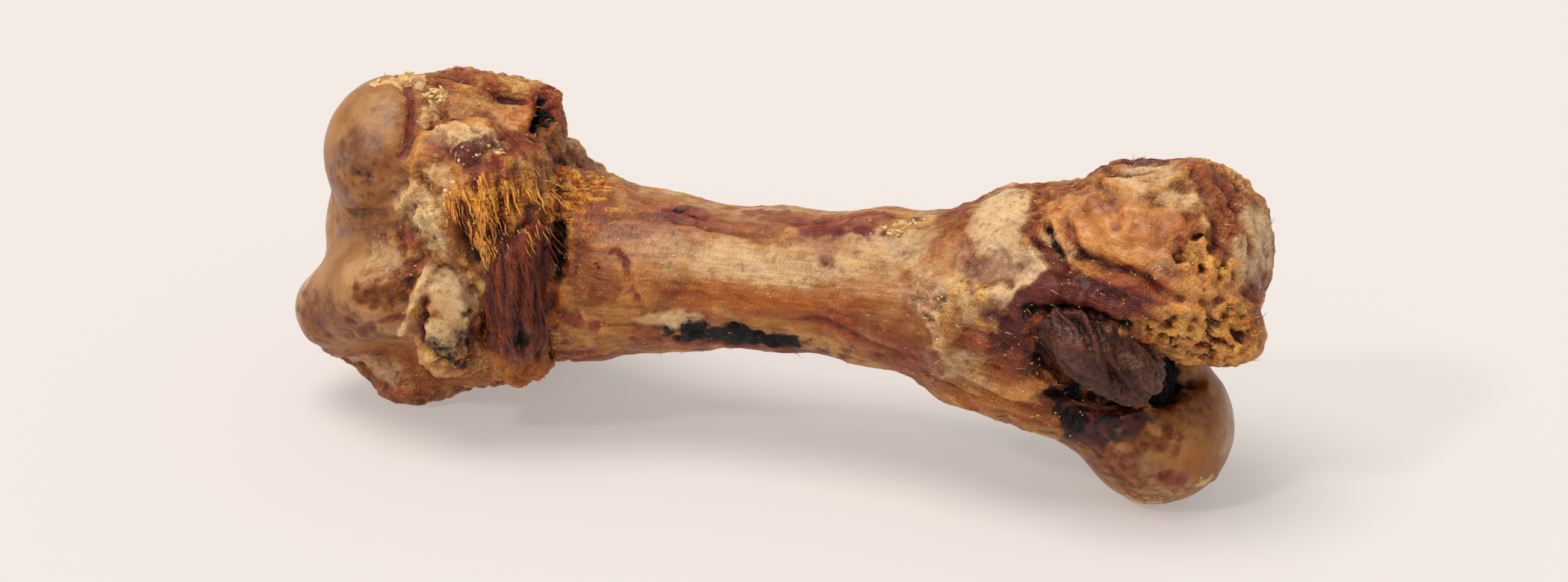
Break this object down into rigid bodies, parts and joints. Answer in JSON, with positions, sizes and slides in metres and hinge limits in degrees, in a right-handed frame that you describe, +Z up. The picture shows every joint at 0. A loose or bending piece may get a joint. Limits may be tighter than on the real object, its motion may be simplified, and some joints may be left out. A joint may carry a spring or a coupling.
{
  "type": "roasted beef femur bone",
  "caption": "Whole roasted thigh bone of young cattle with a waisted shaft, a knee end and a hip ball, and dried meat, gristle and tendon clinging to both ends.",
  "frame": {"origin": "on the ground under the middle of the whole piece", "axes": "+X from the knee end to the hip end, +Z up (the outer side of the leg), -Y the back of the leg, where the condyles and the hollow beside the ball show"},
  "size_m": [0.3498, 0.1142, 0.1254],
  "materials": {
    "bone": "roasted bone under dried skin: tan to amber with cream and dark red patches, satin with a greasy sheen",
    "dark_meat": "shrunken, crumpled dark purple-brown meat, satin",
    "red_meat": "dried fibrous red-brown muscle, slightly glossy"
  },
  "bodies": {
    "root": {"femur": "bone", "hollow_meat": "dark_meat", "muscle_strap": "red_meat"}
  },
  "joints": []
}
